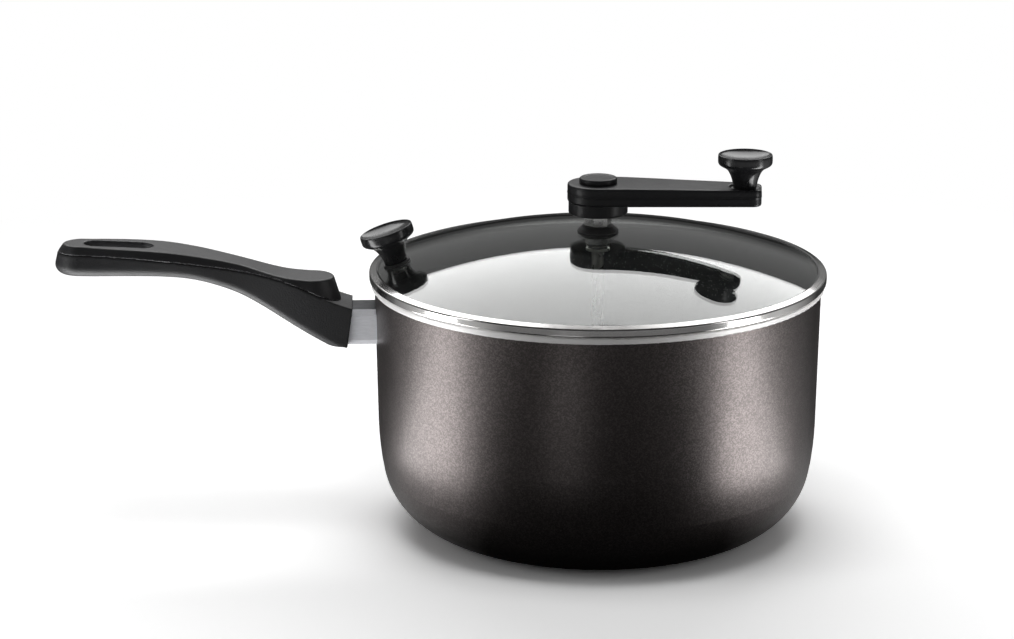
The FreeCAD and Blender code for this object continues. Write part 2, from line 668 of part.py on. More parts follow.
# Bush --------------------------------------------------------------------------------------------------

def shaft_bush():
    head = chamfered_hex(BUSH_HEX, BUSH_SEAT, BUSH_TOP, BUSH_TURN)
    stem = disc(BUSH_R, BUSH_FOOT, BUSH_SEAT)
    return head.fuse(stem).cut(disc(SHAFT_R + BUSH_RUN, BUSH_FOOT, BUSH_TOP))


def bush_gasket_upper():
    cone = turned(((BUSH_R + THREAD_GAP, APEX - 3, 0), (GASKET_R, APEX - 3, 0), (GASKET_R, APEX + 0.7, 0.3),
                   (GASKET_TOP_R, BUSH_SEAT, 0.3), (BUSH_R + THREAD_GAP, BUSH_SEAT, 0)))
    return cone.cut(Part.makeSphere(GLASS_R, V(0, 0, APEX - GLASS_R)))


def bush_gasket_lower():
    ring = tube(GASKET_R, BUSH_R + THREAD_GAP, NUT_TOP, UNDER_GLASS + 1)
    return ring.common(Part.makeSphere(GLASS_R - GLASS_T, V(0, 0, APEX - GLASS_R)))


def bush_nut():
    low = NUT_TOP - NUT_HEIGHT
    return chamfered_hex(NUT_HEX, low, NUT_TOP, NUT_TURN).cut(disc(BUSH_R + THREAD_GAP, low, NUT_TOP))


# Crank -------------------------------------------------------------------------------------------------

def crank_place(shape, along_arm=0.0, turn=0.0):
    """Turn a piece built with the crank along +X to the crank's place at rest."""
    placed = shape.copy()
    placed.translate(V(along_arm, 0, 0))
    placed.rotate(V(0, 0, 0), UP, CRANK_TURN + turn)
    return placed


def crank_shaft():
    top = WELL_FLOOR + TOP_WASHER_T + TOP_NUT_T + THREAD_SHOWS
    groove = tube(CLIP_R, SHAFT_R - CLIP_GROOVE, CLIP_TOP - CLIP_T, CLIP_TOP)
    shaft = disc(SHAFT_R, SHAFT_FOOT, ARM_FOOT).fuse(disc(TOP_THREAD_R, ARM_FOOT, top))
    return shaft.cut(groove)


def shaft_clip():
    ring = tube(CLIP_R, SHAFT_R - CLIP_GROOVE, CLIP_TOP - CLIP_T, CLIP_TOP)
    half = (SHAFT_R - CLIP_GROOVE) * CLIP_MOUTH
    mouth = Part.makeBox(CLIP_R, 2 * half, CLIP_T, V(0, -half, CLIP_TOP - CLIP_T))
    return crank_place(ring.cut(mouth), turn=CLIP_TURN)


def thrust_washer():
    return tube(WASHER_R, SHAFT_R + THREAD_GAP, COLLAR_FOOT - WASHER_T, COLLAR_FOOT)


def crank_collar():
    return turned(((SHAFT_R + THREAD_GAP, COLLAR_FOOT, 0), (COLLAR_R, COLLAR_FOOT, COLLAR_ROUND),
                   (COLLAR_R, ARM_FOOT, 0), (SHAFT_R + THREAD_GAP, ARM_FOOT, 0)))


def arm_plan():
    """Seen from above: the round hub, two straight flanks that touch it, and the rounded end."""
    angle = math.asin((ARM_HUB_R - ARM_END_HALF) / ARM_REACH)
    touch_x, touch_y = ARM_HUB_R * math.sin(angle), ARM_HUB_R * math.cos(angle)
    flank = rounded(((touch_x, -touch_y, 0), (ARM_REACH, -ARM_END_HALF, ARM_CORNER),
                     (ARM_REACH, ARM_END_HALF, ARM_CORNER), (touch_x, touch_y, 0)),
                    lambda x, y: V(x, y, ARM_FOOT))
    hub = Part.makeCylinder(ARM_HUB_R, ARM_T, V(0, 0, ARM_FOOT))
    return hub.fuse(flank.extrude(UP * ARM_T)).removeSplitter()


def crank_arm():
    arm = arm_plan()
    drop = ARM_T - ARM_T_END
    start = ARM_HUB_R
    wedge = Part.Face(Part.makePolygon([
        V(start, -50, ARM_TOP), V(ARM_REACH, -50, ARM_TOP - drop), V(ARM_REACH + 20, -50, ARM_TOP - drop),
        V(ARM_REACH + 20, -50, ARM_TOP + 5), V(start, -50, ARM_TOP + 5), V(start, -50, ARM_TOP)]))
    arm = arm.cut(wedge.extrude(V(0, 100, 0)))
    rims = [e for e in arm.Edges
            if abs(e.tangentAt(e.FirstParameter).z) < 0.2 and e.BoundBox.ZMin > ARM_FOOT + 1
            and not (e.BoundBox.XLength < 0.5 and e.BoundBox.XMax < ARM_REACH - 1)]
    rims += [e for e in arm.Edges if e.BoundBox.ZMax < ARM_FOOT + 1e-3]
    arm = arm.makeFillet(ARM_EDGE, rims)
    arm = arm.cut(disc(WELL_R, WELL_FLOOR, ARM_TOP + 1))
    arm = arm.cut(disc(TOP_THREAD_R + THREAD_GAP, ARM_FOOT, ARM_TOP))
    seat = Part.makeCylinder(DISH_R, ARM_T, V(CRANK_LENGTH, 0, KNOB_SEAT))
    hole = Part.makeCylinder(PIN_R + THREAD_GAP, ARM_T + 2, V(CRANK_LENGTH, 0, ARM_FOOT - 1))
    head = Part.makeCylinder(PIN_HEAD_R + HOLD_GAP, PIN_HEAD + HOLD_GAP, V(CRANK_LENGTH, 0, ARM_FOOT))
    return crank_place(arm.cut(seat).cut(hole).cut(head))


def crank_cap():
    button = turned(((0, ARM_TOP, 0), (CAP_R, ARM_TOP, 0), (CAP_R, ARM_TOP + CAP_T, CAP_BEVEL),
                     (0, ARM_TOP + CAP_T, 0)))
    plug_r = WELL_R - THREAD_GAP
    plug = tube(plug_r, plug_r - CAP_PLUG_WALL, ARM_TOP - CAP_PLUG, ARM_TOP)
    return button.fuse(plug)


def crank_nut_washer():
    return tube(TOP_WASHER_R, TOP_THREAD_R + THREAD_GAP, WELL_FLOOR, WELL_FLOOR + TOP_WASHER_T)


def crank_nut():
    low = WELL_FLOOR + TOP_WASHER_T
    nut = chamfered_hex(TOP_NUT_HEX, low, low + TOP_NUT_T, CRANK_TURN)
    return nut.cut(disc(TOP_THREAD_R + THREAD_GAP, low, low + TOP_NUT_T))


def knob_spindle():
    top = KNOB_SEAT + PIN_REACH
    barb = turned(((0, top - PIN_BARB_T, 0), (PIN_R + PIN_BARB, top - PIN_BARB_T, 0),
                   (PIN_R + PIN_BARB, top - PIN_BARB_T / 2, 0), (PIN_R - PIN_BARB, top, 0), (0, top, 0)))
    pin = disc(PIN_R, ARM_FOOT + PIN_HEAD, top - PIN_BARB_T).fuse(barb)
    return crank_place(pin.fuse(disc(PIN_HEAD_R, ARM_FOOT, ARM_FOOT + PIN_HEAD)), CRANK_LENGTH)


def crank_knob():
    knob = knob_blank()
    knob.translate(V(0, 0, KNOB_SEAT + KNOB_LIFT))
    snap = KNOB_SEAT + PIN_REACH - PIN_BARB_T
    knob = knob.cut(disc(PIN_R + PIN_RUN, KNOB_SEAT, snap))
    return crank_place(knob.cut(disc(PIN_R + PIN_BARB + PIN_RUN, snap - KNOB_LIFT, snap + PIN_BARB_T + 0.5)),
                       CRANK_LENGTH)


# Stirrer -----------------------------------------------------------------------------------------------

def wire(run, tip, rise):
    """Round wire from the hub along +X, level, then bent up by rise degrees."""
    angle = math.radians(rise)
    back = WIRE_BEND_R * math.tan(angle / 2)
    corner = V(run, 0, WIRE_Z)
    bend_start = corner - V(back, 0, 0)
    way = V(math.cos(angle), 0, math.sin(angle))
    bend_end = corner + way * back
    middle = corner + (V(-1, 0, 0) + way).normalize() * (WIRE_BEND_R / math.cos(angle / 2) - WIRE_BEND_R)
    path = Part.Wire([line(V(WIRE_START, 0, WIRE_Z), bend_start),
                      Part.Arc(bend_start, middle, bend_end).toShape(), line(bend_end, corner + way * tip)])
    ring = Part.Wire(Part.makeCircle(WIRE_R, V(WIRE_START, 0, WIRE_Z), V(1, 0, 0)))
    rod = path.makePipeShell([ring], True, False)
    return rod.fuse(Part.makeSphere(WIRE_R, corner + way * tip))


def stirrer_hub():
    low = WIRE_Z - WIRE_R - HUB_WEB
    hub = turned(((0, low, 0), (STIR_HUB_R, low, STIR_HUB_EDGE), (STIR_HUB_R, HUB_TOP, STIR_HUB_EDGE),
                  (0, HUB_TOP, 0)))
    hub = hub.cut(disc(SHAFT_R + THREAD_GAP, SHAFT_FOOT, HUB_TOP + 1))
    along_x, along_y = V(1, 0, 0), V(0, 1, 0)
    cross = Part.makeCylinder(WIRE_R + THREAD_GAP, 2 * STIR_HUB_R + 2, V(-STIR_HUB_R - 1, 0, WIRE_Z), along_x)
    grub = Part.makeCylinder(SET_SCREW_R + THREAD_GAP, STIR_HUB_R + 1, V(0, 0, SET_SCREW_Z), along_y)
    return crank_place(hub.cut(cross).cut(grub), turn=STIR_TURN)


def stirrer_long_wire():
    return crank_place(wire(LONG_RUN, LONG_TIP, LONG_RISE), turn=STIR_TURN)


def stirrer_short_wire():
    return crank_place(wire(SHORT_RUN, SHORT_TIP, SHORT_RISE), turn=STIR_TURN + 180)


def stirrer_set_screw():
    foot = V(0, SHAFT_R + THREAD_GAP, SET_SCREW_Z)
    screw = Part.makeCylinder(SET_SCREW_R, SET_SCREW_LENGTH, foot, V(0, 1, 0))
    return crank_place(screw, turn=STIR_TURN)


NODES = {
    "pan_body": pan_body,
    "handle_bracket": handle_bracket,
    "flame_guard": flame_guard,
    "handle_body": handle_body,
    "handle_top_grip": handle_top_grip,
    "handle_screw": handle_screw,
    "lid_glass": lid_glass,
    "lid_ring": lid_ring,
    "lid_ring_seal": lid_ring_seal,
    "lid_knob": lid_knob,
    "lid_knob_washer": lid_knob_washer,
    "lid_knob_inner_washer": lid_knob_inner_washer,
    "lid_knob_screw": lid_knob_screw,
    "shaft_bush": shaft_bush,
    "bush_gasket_upper": bush_gasket_upper,
    "bush_gasket_lower": bush_gasket_lower,
    "bush_nut": bush_nut,
    "crank_shaft": crank_shaft,
    "shaft_clip": shaft_clip,
    "thrust_washer": thrust_washer,
    "crank_collar": crank_collar,
    "crank_arm": crank_arm,
    "crank_cap": crank_cap,
    "crank_nut": crank_nut,
    "crank_nut_washer": crank_nut_washer,
    "knob_spindle": knob_spindle,
    "crank_knob": crank_knob,
    "stirrer_hub": stirrer_hub,
    "stirrer_long_wire": stirrer_long_wire,
    "stirrer_short_wire": stirrer_short_wire,
    "stirrer_set_screw": stirrer_set_screw,
}

os.makedirs("parts", exist_ok=True)
for name, make in NODES.items():
    shape = make()
    solids = shape.Solids
    if not shape.isValid() or not solids:
        raise SystemExit(f"{name} is not a valid solid")
    solid = solids[0] if len(solids) == 1 else Part.makeCompound(solids)
    solid.exportStep(f"parts/{name}.step")
    box = solid.BoundBox
    print(f"{name}: {len(solids)} solid, {solid.Volume / 1000:.2f} cm3, x {box.XMin:.1f} to {box.XMax:.1f}, "
          f"y {box.YMin:.1f} to {box.YMax:.1f}, z {box.ZMin:.1f} to {box.ZMax:.1f}")
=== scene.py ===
# %% [markdown]
# # A stovetop popcorn maker
# This lesson dresses a popcorn maker: a deep pan with a long handle, a glass lid in a steel ring, and a
# hand crank that turns a wire stirrer. The engineered parts come in already at their true size. They are
# loaded first as a fixed frame, and everything after that is placed from the frame's own measurements.

# %% Load the frame
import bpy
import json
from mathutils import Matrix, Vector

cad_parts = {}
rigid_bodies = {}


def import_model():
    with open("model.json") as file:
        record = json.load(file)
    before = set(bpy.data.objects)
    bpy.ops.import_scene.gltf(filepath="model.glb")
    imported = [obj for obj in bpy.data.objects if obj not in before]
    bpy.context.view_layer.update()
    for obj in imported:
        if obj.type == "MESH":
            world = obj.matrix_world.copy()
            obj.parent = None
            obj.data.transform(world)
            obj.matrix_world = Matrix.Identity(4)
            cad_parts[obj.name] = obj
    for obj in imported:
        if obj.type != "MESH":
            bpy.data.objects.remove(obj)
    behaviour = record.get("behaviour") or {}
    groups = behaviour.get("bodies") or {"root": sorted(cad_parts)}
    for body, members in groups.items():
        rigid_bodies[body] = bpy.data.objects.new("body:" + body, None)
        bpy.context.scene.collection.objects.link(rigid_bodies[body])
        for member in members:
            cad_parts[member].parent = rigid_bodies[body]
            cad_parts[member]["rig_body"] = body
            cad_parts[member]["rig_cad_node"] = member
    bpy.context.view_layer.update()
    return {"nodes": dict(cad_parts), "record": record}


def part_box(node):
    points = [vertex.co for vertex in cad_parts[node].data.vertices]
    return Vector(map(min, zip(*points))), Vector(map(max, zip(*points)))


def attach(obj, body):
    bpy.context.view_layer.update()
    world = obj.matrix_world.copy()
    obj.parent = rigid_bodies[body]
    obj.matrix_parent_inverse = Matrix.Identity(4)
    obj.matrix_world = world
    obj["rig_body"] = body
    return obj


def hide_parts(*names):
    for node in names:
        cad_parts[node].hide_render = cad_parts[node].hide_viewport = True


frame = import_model()

# %% [markdown]
# ## Measurements
# Blender works in metres. Sizes that the looks need, such as the height of the pan's rim, are read from the
# boxes of the nodes, so nothing has to be typed twice.

# %% Measurements from the frame
import json
import math
import bpy
from mathutils import Matrix, Vector

rim_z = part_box("pan_body")[1].z
print("rim height", round(rim_z, 4))

# %% [markdown]
# ## A clean start for every operator
# Blender's operators work on whatever is selected, and a part left selected by an earlier step would be
# changed along with the new one. So each step that makes or turns a piece first selects nothing.

# %% Deselect everything
def deselect():
    bpy.ops.object.select_all(action="DESELECT")


deselect()
print("selected", len(bpy.context.selected_objects))

# %% [markdown]
# ## Building materials from nodes
# Every finish here is procedural, which means that noise and coordinates draw it and no picture is needed.
# Two helpers keep the recipes short: one adds a node, the other starts a group of nodes that several
# materials share.

# %% Helpers for nodes
def add(tree, kind, inputs=None, **settings):
    """One shader node. A socket given as an input is linked, and anything else is a constant."""
    made = tree.nodes.new("ShaderNode" + kind)
    for name, value in settings.items():
        setattr(made, name, value)
    for key, value in (inputs or {}).items():
        if isinstance(value, bpy.types.NodeSocket):
            tree.links.new(value, made.inputs[key])
        else:
            made.inputs[key].default_value = value
    return made


def start_group(name, inputs, outputs):
    """An empty node group with named sockets, with its input and output nodes."""
    group = bpy.data.node_groups.new(name, "ShaderNodeTree")
    for label, kind in inputs.items():
        group.interface.new_socket(label, in_out="INPUT", socket_type="NodeSocket" + kind)
    for label, kind in outputs.items():
        group.interface.new_socket(label, in_out="OUTPUT", socket_type="NodeSocket" + kind)
    return group, group.nodes.new("NodeGroupInput").outputs, group.nodes.new("NodeGroupOutput").inputs


def use(tree, group, **inputs):
    """A shared group placed in a material, with this material's own values."""
    made = tree.nodes.new("ShaderNodeGroup")
    made.node_tree = group
    for key, value in inputs.items():
        if isinstance(value, bpy.types.NodeSocket):
            tree.links.new(value, made.inputs[key])
        else:
            made.inputs[key].default_value = value
    return made.outputs


print("helpers ready")

# %% [markdown]
# ## Shared effect: grain
# The moulds that make plastic grips are spark-eroded, and castings and sheet metal have their own grain. All
# of it is noise of one size. The size goes in as metres, and the group turns it into a noise scale.

# %% Grain group
def make_grain():
    group, given, result = start_group("grain", {"Vector": "Vector", "Size": "Float"}, {"Height": "Float"})
    scale = add(group, "Math", {0: 1.0, 1: given["Size"]}, operation="DIVIDE").outputs[0]
    noise = add(group, "TexNoise", {"Vector": given["Vector"], "Scale": scale, "Detail": 2.0,
                                    "Roughness": 0.6})
    group.links.new(noise.outputs["Fac"], result["Height"])
    return group


grain = make_grain()
print("group", grain.name)

# %% [markdown]
# ## Shared effect: handling
# A thing that is used has places that are a little shinier or duller than others, where hands and cloths
# have been. Large soft noise gives that. Its contrast is raised, because plain noise keeps close to a half.

# %% Handling group
def make_handling():
    group, given, result = start_group("handling", {"Vector": "Vector", "Size": "Float"}, {"Value": "Float"})
    scale = add(group, "Math", {0: 1.0, 1: given["Size"]}, operation="DIVIDE").outputs[0]
    noise = add(group, "TexNoise", {"Vector": given["Vector"], "Scale": scale, "Detail": 4.0,
                                    "Roughness": 0.55, "Distortion": 0.4})
    spread = add(group, "MapRange", {"Value": noise.outputs["Fac"], "From Min": 0.32, "From Max": 0.68})
    group.links.new(spread.outputs["Result"], result["Value"])
    return group


handling = make_handling()
print("group", handling.name)

# %% [markdown]
# ## Shared effect: rubbed edges and painted edge highlights
# Corners are touched most. The Bevel node looks a short way round each point, so where its normal differs
# from the true one there is an edge. The difference, broken up by noise, is a mask for wear, and on the satin
# grip for a painted highlight along its edges as well.

# %% Rubbed edge group
def make_edge_wear_and_sheen():
    group, given, result = start_group("edge_wear_and_sheen", {"Vector": "Vector", "Radius": "Float"},
                                       {"Mask": "Float"})
    soft = add(group, "Bevel", {"Radius": given["Radius"]}, samples=4)
    plain = add(group, "NewGeometry")
    same = add(group, "VectorMath", {0: soft.outputs["Normal"], 1: plain.outputs["Normal"]},
               operation="DOT_PRODUCT")
    edge = add(group, "MapRange", {"Value": same.outputs["Value"], "From Min": 0.99, "From Max": 0.88})
    broken = add(group, "TexNoise", {"Vector": given["Vector"], "Scale": 900.0, "Detail": 3.0})
    patchy = add(group, "MapRange", {"Value": broken.outputs["Fac"], "From Min": 0.35, "From Max": 0.6})
    mask = add(group, "Math", {0: edge.outputs["Result"], 1: patchy.outputs["Result"]}, operation="MULTIPLY")
    group.links.new(mask.outputs[0], result["Mask"])
    return group


edge_wear_and_sheen = make_edge_wear_and_sheen()
print("group", edge_wear_and_sheen.name)

# %% [markdown]
# ## A starting point for every finish
# Most finishes here differ only in numbers: a colour, a roughness, how coarse the grain is, and the colour
# of the edges, which is wear on most finishes and a painted highlight on the satin grip. One function builds
# such a material and hands back its nodes, so that special finishes can be taken further.

# %% The common finish
finishes = {}


def finish(name, colour, roughness, metallic=0.0, grain_size=0.0005, grain_depth=0.00001, stretch=(1, 1, 1),
           patch=0.03, swing=0.05, tint=0.1, wear_and_sheen=None, wear_and_sheen_radius=0.0006, specular=0.5):
    """A material whose colour, roughness and relief all vary over the surface.

    grain_size and grain_depth are in metres. stretch draws the grain out along an axis. swing is how far
    roughness strays, tint how far colour does, and wear_and_sheen the colour of the edges: rubbed wear, and
    on the satin grip a painted highlight.
    """
    material = bpy.data.materials.new(name)
    finishes[name] = material
    material.use_nodes = True
    tree = material.node_tree
    shader = tree.nodes["Principled BSDF"]
    shader.inputs["Metallic"].default_value = metallic
    shader.inputs["Specular IOR Level"].default_value = specular
    place = add(tree, "TexCoord").outputs["Object"]
    drawn = add(tree, "Mapping", {"Vector": place, "Scale": stretch}).outputs["Vector"]
    height = use(tree, grain, Vector=drawn, Size=grain_size)["Height"]
    bump = add(tree, "Bump", {"Height": height, "Distance": grain_depth})
    tree.links.new(bump.outputs["Normal"], shader.inputs["Normal"])
    soft = use(tree, handling, Vector=place, Size=patch)["Value"]
    rough = add(tree, "MapRange", {"Value": soft, "To Min": roughness - swing, "To Max": roughness + swing})
    tree.links.new(rough.outputs["Result"], shader.inputs["Roughness"])
    dark = [c * (1 - tint) for c in colour] + [1]
    light = [min(1, c * (1 + tint)) for c in colour] + [1]
    shade = add(tree, "Mix", {"Factor": height, "A": dark, "B": light}, data_type="RGBA")
    shade_out = shade.outputs["Result"]
    if wear_and_sheen:
        mask = use(tree, edge_wear_and_sheen, Vector=place, Radius=wear_and_sheen_radius)["Mask"]
        shade = add(tree, "Mix", {"Factor": mask, "A": shade_out, "B": list(wear_and_sheen) + [1]}, data_type="RGBA")
        shade_out = shade.outputs["Result"]
    tree.links.new(shade_out, shader.inputs["Base Color"])
    return material, tree, shader, place, shade_out, rough.outputs["Result"]


print("finish() ready")

# %% [markdown]
# ## Black plastics
# Four mouldings, four textures. The grip's body comes from a coarse spark-eroded mould, the part that the
# palm touches is finer, the crank is satin, and the knobs are nearly polished.

# %% Black plastics
finish("grained_black", (0.012, 0.012, 0.013), 0.50, grain_size=0.0008, grain_depth=0.00013, swing=0.06,
       tint=0.5, wear_and_sheen=(0.035, 0.035, 0.036), specular=0.4)
# The satin grip's light grey edge colour is a painted highlight along its edges, together with rubbed wear.
finish("satin_black", (0.014, 0.014, 0.015), 0.42, grain_size=0.0008, grain_depth=0.00006, swing=0.07,
       tint=0.3, wear_and_sheen=(0.30, 0.30, 0.31), wear_and_sheen_radius=0.0009, specular=0.45)
finish("moulded_black", (0.012, 0.012, 0.013), 0.33, grain_size=0.0008, grain_depth=0.00003, swing=0.08,
       tint=0.3, wear_and_sheen=(0.04, 0.04, 0.042), specular=0.25)
finish("gloss_black", (0.014, 0.014, 0.015), 0.22, grain_size=0.0012, grain_depth=0.000008, patch=0.012,
       swing=0.06, tint=0.1, wear_and_sheen=(0.035, 0.035, 0.036), wear_and_sheen_radius=0.0004)
print("plastics", list(finishes))

# %% [markdown]
# ## Plain metals
# Drawn and rolled metal has fine lines along the way it was worked, so its grain is stretched along one axis.
# Plated parts are smoother, with cloudy patches where the plating is thin.

# %% Metals
finish("bare_aluminium", (0.72, 0.72, 0.74), 0.34, 1.0, 0.0004, 0.00001, tint=0.08)
finish("zinc_steel", (0.60, 0.60, 0.57), 0.32, 1.0, 0.0006, 0.000012, patch=0.004, swing=0.08, tint=0.12,
       wear_and_sheen=(0.42, 0.41, 0.39))
finish("plated_steel", (0.66, 0.66, 0.65), 0.17, 1.0, 0.0007, 0.000006, patch=0.006, swing=0.06, tint=0.06,
       wear_and_sheen=(0.80, 0.80, 0.79))
finish("stainless_rod", (0.58, 0.57, 0.55), 0.28, 1.0, 0.0009, 0.00001, stretch=(1, 1, 0.08), patch=0.01,
       swing=0.08, tint=0.1)
finish("polished_steel", (0.62, 0.61, 0.60), 0.13, 1.0, 0.0009, 0.000003, stretch=(0.3, 0.3, 3), patch=0.02,
       swing=0.04, tint=0.05)
print("finishes so far", len(finishes))

# %% [markdown]
# ## Flame guard
# The sleeve between the pan and the grip is brushed along its sides. Its upper face gets painted shade: a
# mask made from the surface's direction paints whatever faces up dark and less metallic.

# %% Flame guard
# The dark colour of the upper face is painted shade.
painted_shade_top = (0.055, 0.057, 0.064, 1)


def make_guard_finish():
    material, tree, shader, place, shade, rough = finish(
        "polished_aluminium", (0.82, 0.83, 0.87), 0.36, 0.45, 0.0005, 0.00003, stretch=(0.15, 1, 1),
        patch=0.006, swing=0.05, tint=0.12, specular=0.15)
    upward = add(tree, "SeparateXYZ", {0: add(tree, "TexCoord").outputs["Normal"]}).outputs["Z"]
    over = add(tree, "MapRange", {"Value": upward, "From Min": 0.86, "From Max": 0.97})
    colour = add(tree, "Mix", {"Factor": over.outputs["Result"], "A": shade, "B": painted_shade_top}, data_type="RGBA")
    bare = add(tree, "MapRange", {"Value": over.outputs["Result"], "To Min": 0.45, "To Max": 0.0})
    tree.links.new(bare.outputs["Result"], shader.inputs["Metallic"])
    tree.links.new(colour.outputs["Result"], shader.inputs["Base Color"])
    return material


polished_aluminium = make_guard_finish()
print("guard", polished_aluminium.name)

# %% [markdown]
# ## Rubber and nylon
# Both are soft and dull, and natural nylon is off-white.

# %% Rubber and nylon
finish("black_rubber", (0.022, 0.022, 0.022), 0.58, grain_size=0.0004, grain_depth=0.00002, tint=0.5)
finish("white_nylon", (0.78, 0.77, 0.72), 0.45, grain_size=0.0006, grain_depth=0.00001, tint=0.06)
print("finishes so far", len(finishes))

# %% [markdown]
# ## Glass
# Real glass bends and mirrors light by itself, and a Principled shader with full transmission does that.
# Lamps would leave the pan dark under it, because light through bent glass is hard to find, so rays that
# come from a lamp are let straight through. Faint wiping marks keep the surface from looking empty.

# %% Glass
def make_glass():
    material = bpy.data.materials.new("clear_glass")
    material.use_nodes = True
    tree = material.node_tree
    shader = tree.nodes["Principled BSDF"]
    shader.inputs["Transmission Weight"].default_value = 1.0
    shader.inputs["IOR"].default_value = 1.5
    place = add(tree, "TexCoord").outputs["Object"]
    wiped = use(tree, handling, Vector=place, Size=0.05)["Value"]
    rough = add(tree, "MapRange", {"Value": wiped, "To Min": 0.0, "To Max": 0.004})
    tree.links.new(rough.outputs["Result"], shader.inputs["Roughness"])
    tint = add(tree, "Mix", {"Factor": wiped, "A": (0.95, 0.975, 0.955, 1), "B": (0.965, 0.98, 0.965, 1)},
               data_type="RGBA")
    tree.links.new(tint.outputs["Result"], shader.inputs["Base Color"])
    clear = add(tree, "BsdfTransparent", {"Color": (0.93, 0.95, 0.935, 1)})
    lamp_ray = add(tree, "LightPath").outputs["Is Shadow Ray"]
    both = add(tree, "MixShader", {0: lamp_ray, 1: shader.outputs["BSDF"], 2: clear.outputs["BSDF"]})
    tree.links.new(both.outputs["Shader"], tree.nodes["Material Output"].inputs["Surface"])
    return material


finishes["clear_glass"] = make_glass()
print("glass", finishes["clear_glass"].name)

# %% [markdown]
# ## The pan's coating
# The pan is one pressing with three finishes: graphite enamel with metal flakes outside, dark non-stick
# inside, and bare turned metal at the lip. A point is outside when its normal points away from the middle
# of the bowl, and it belongs to the lip when it is near the rim and not inside. Each flake is a cell of a
# Voronoi texture, with its own brightness and its own small tilt.

# %% Pan coating
lip_from = rim_z - 0.0036
flakes_per_metre = 1700.0
bowl_middle = (0, 0, 0.7 * rim_z)
enamel = (0.096, 0.085, 0.083)
bare_lip = (0.80, 0.79, 0.78, 1)


def make_pan_coating():
    material, tree, shader, place, shade, rough = finish(
        "pan_coating", enamel, 0.36, 1.0, 0.0006, 0.000006, patch=0.05, swing=0.03, tint=0.12)
    coords = add(tree, "TexCoord")
    away = add(tree, "VectorMath", {0: place, 1: bowl_middle}, operation="SUBTRACT")
    facing = add(tree, "VectorMath", {0: away.outputs[0], 1: coords.outputs["Normal"]},
                 operation="DOT_PRODUCT")
    inside = add(tree, "Math", {0: facing.outputs["Value"], 1: 0.0}, operation="LESS_THAN").outputs[0]
    height = add(tree, "SeparateXYZ", {0: place}).outputs["Z"]
    near_rim = add(tree, "Math", {0: height, 1: lip_from}, operation="GREATER_THAN").outputs[0]
    lip = add(tree, "Math", {0: near_rim, 1: inside}, operation="SUBTRACT", use_clamp=True).outputs[0]

    flakes = add(tree, "TexVoronoi", {"Vector": place, "Scale": flakes_per_metre})
    glint = add(tree, "SeparateColor", {0: flakes.outputs["Color"]}).outputs["Red"]
    outside = add(tree, "Math", {0: 1.0, 1: inside}, operation="SUBTRACT").outputs[0]
    tilt = add(tree, "Bump", {"Height": glint, "Distance": 0.000012, "Strength": outside,
                              "Normal": shader.inputs["Normal"].links[0].from_socket})
    tree.links.new(tilt.outputs["Normal"], shader.inputs["Normal"])
    bright = add(tree, "MapRange", {"Value": glint, "From Min": 0.3, "To Min": 0.84, "To Max": 1.4})
    flaked = add(tree, "VectorMath", {0: shade, "Scale": bright.outputs["Result"]}, operation="SCALE")
    speck = add(tree, "MapRange", {"Value": glint, "From Min": 0.93, "From Max": 0.97})
    non_stick = add(tree, "Mix", {"Factor": speck.outputs["Result"], "A": (0.022, 0.022, 0.023, 1),
                                  "B": (0.12, 0.12, 0.12, 1)}, data_type="RGBA")
    coated = add(tree, "Mix", {"Factor": inside, "A": flaked.outputs[0], "B": non_stick.outputs["Result"]},
                 data_type="RGBA")
    colour = add(tree, "Mix", {"Factor": lip, "A": coated.outputs["Result"], "B": bare_lip}, data_type="RGBA")
    tree.links.new(colour.outputs["Result"], shader.inputs["Base Color"])
    turned = add(tree, "Mix", {"Factor": lip, "A": outside, "B": 0.3})
    tree.links.new(turned.outputs["Result"], shader.inputs["Metallic"])
    matt_lip = add(tree, "Mix", {"Factor": lip, "A": rough, "B": 0.4})
    tree.links.new(matt_lip.outputs["Result"], shader.inputs["Roughness"])
    return material


pan_coating = make_pan_coating()
print("coating", pan_coating.name)

# %% [markdown]
# ## Dressing the parts
# The frame's record says which finish each part takes. A part's material goes into its material slots, and
# its shape is left alone.

# %% Give every part its finish
def dress(piece, slot_name):
    piece.data.materials.clear()
    piece.data.materials.append(finishes[slot_name])


for row in frame["record"]["subparts"]:
    dress(frame["nodes"][row["node"]], row["material_slot"])

# %% [markdown]
# ## Soft mouldings from hard parts
# Moulded plastic has no knife edges: every corner, such as the rim of the hanging slot, is softly rounded.
# The engineered grip, its body and the crank arm have the right shape with edges that are too crisp.
# Bevelling each edge by hand would be slow, so a merged copy is rebuilt as an even mesh by a voxel Remesh,
# and a few steps of Smooth round every corner by about the same radius, as polishing a mould does.

# %% Rounding a copy of a part
def settle(piece, body, slot_name, *nodes):
    """Hand a finished piece to the body it moves with, its finish, and the parts it stands for."""
    dress(piece, slot_name)
    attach(piece, body)
    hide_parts(*nodes)
    print(piece.name, "faces", len(piece.data.polygons), "rides on", body)


